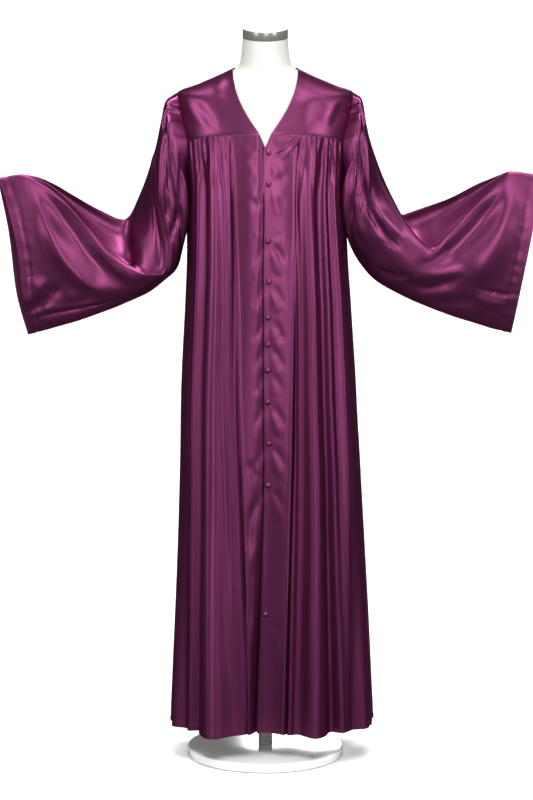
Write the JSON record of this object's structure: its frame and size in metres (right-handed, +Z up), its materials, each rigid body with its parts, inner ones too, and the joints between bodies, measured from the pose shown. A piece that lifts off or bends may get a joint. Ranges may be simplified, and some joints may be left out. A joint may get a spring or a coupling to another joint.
{
  "type": "graduation gown on a limbless dress form",
  "caption": "Plum satin graduation gown with V neck, yoke, pleats, gathers, covered buttons and wide bell sleeves, worn by a limbless dress form on a steel pole and round base.",
  "frame": {"origin": "middle of the stand's underside, on the floor", "axes": "+Z up, -Y the gown's front, +X the wearer's left"},
  "size_m": [1.1937, 0.344, 1.637],
  "materials": {
    "satin": "satin weave with a soft sheen",
    "form_skin": "smooth, half matt, off-white",
    "steel": "brushed",
    "base_white": "gloss white lacquer",
    "pad": "matt"
  },
  "bodies": {
    "root": {"yoke_front_right": "satin", "yoke_front_left": "satin", "yoke_back": "satin", "front_right": "satin", "front_left": "satin", "back": "satin", "sleeve_right": "satin", "sleeve_left": "satin", "button_01": "satin", "button_02": "satin", "button_03": "satin", "button_04": "satin", "button_05": "satin", "button_06": "satin", "button_07": "satin", "button_08": "satin", "button_09": "satin", "button_10": "satin", "button_11": "satin", "form_torso": "form_skin", "form_cap": "steel", "stand_pole": "steel", "stand_base": "base_white", "stand_pad": "pad"}
  },
  "joints": []
}
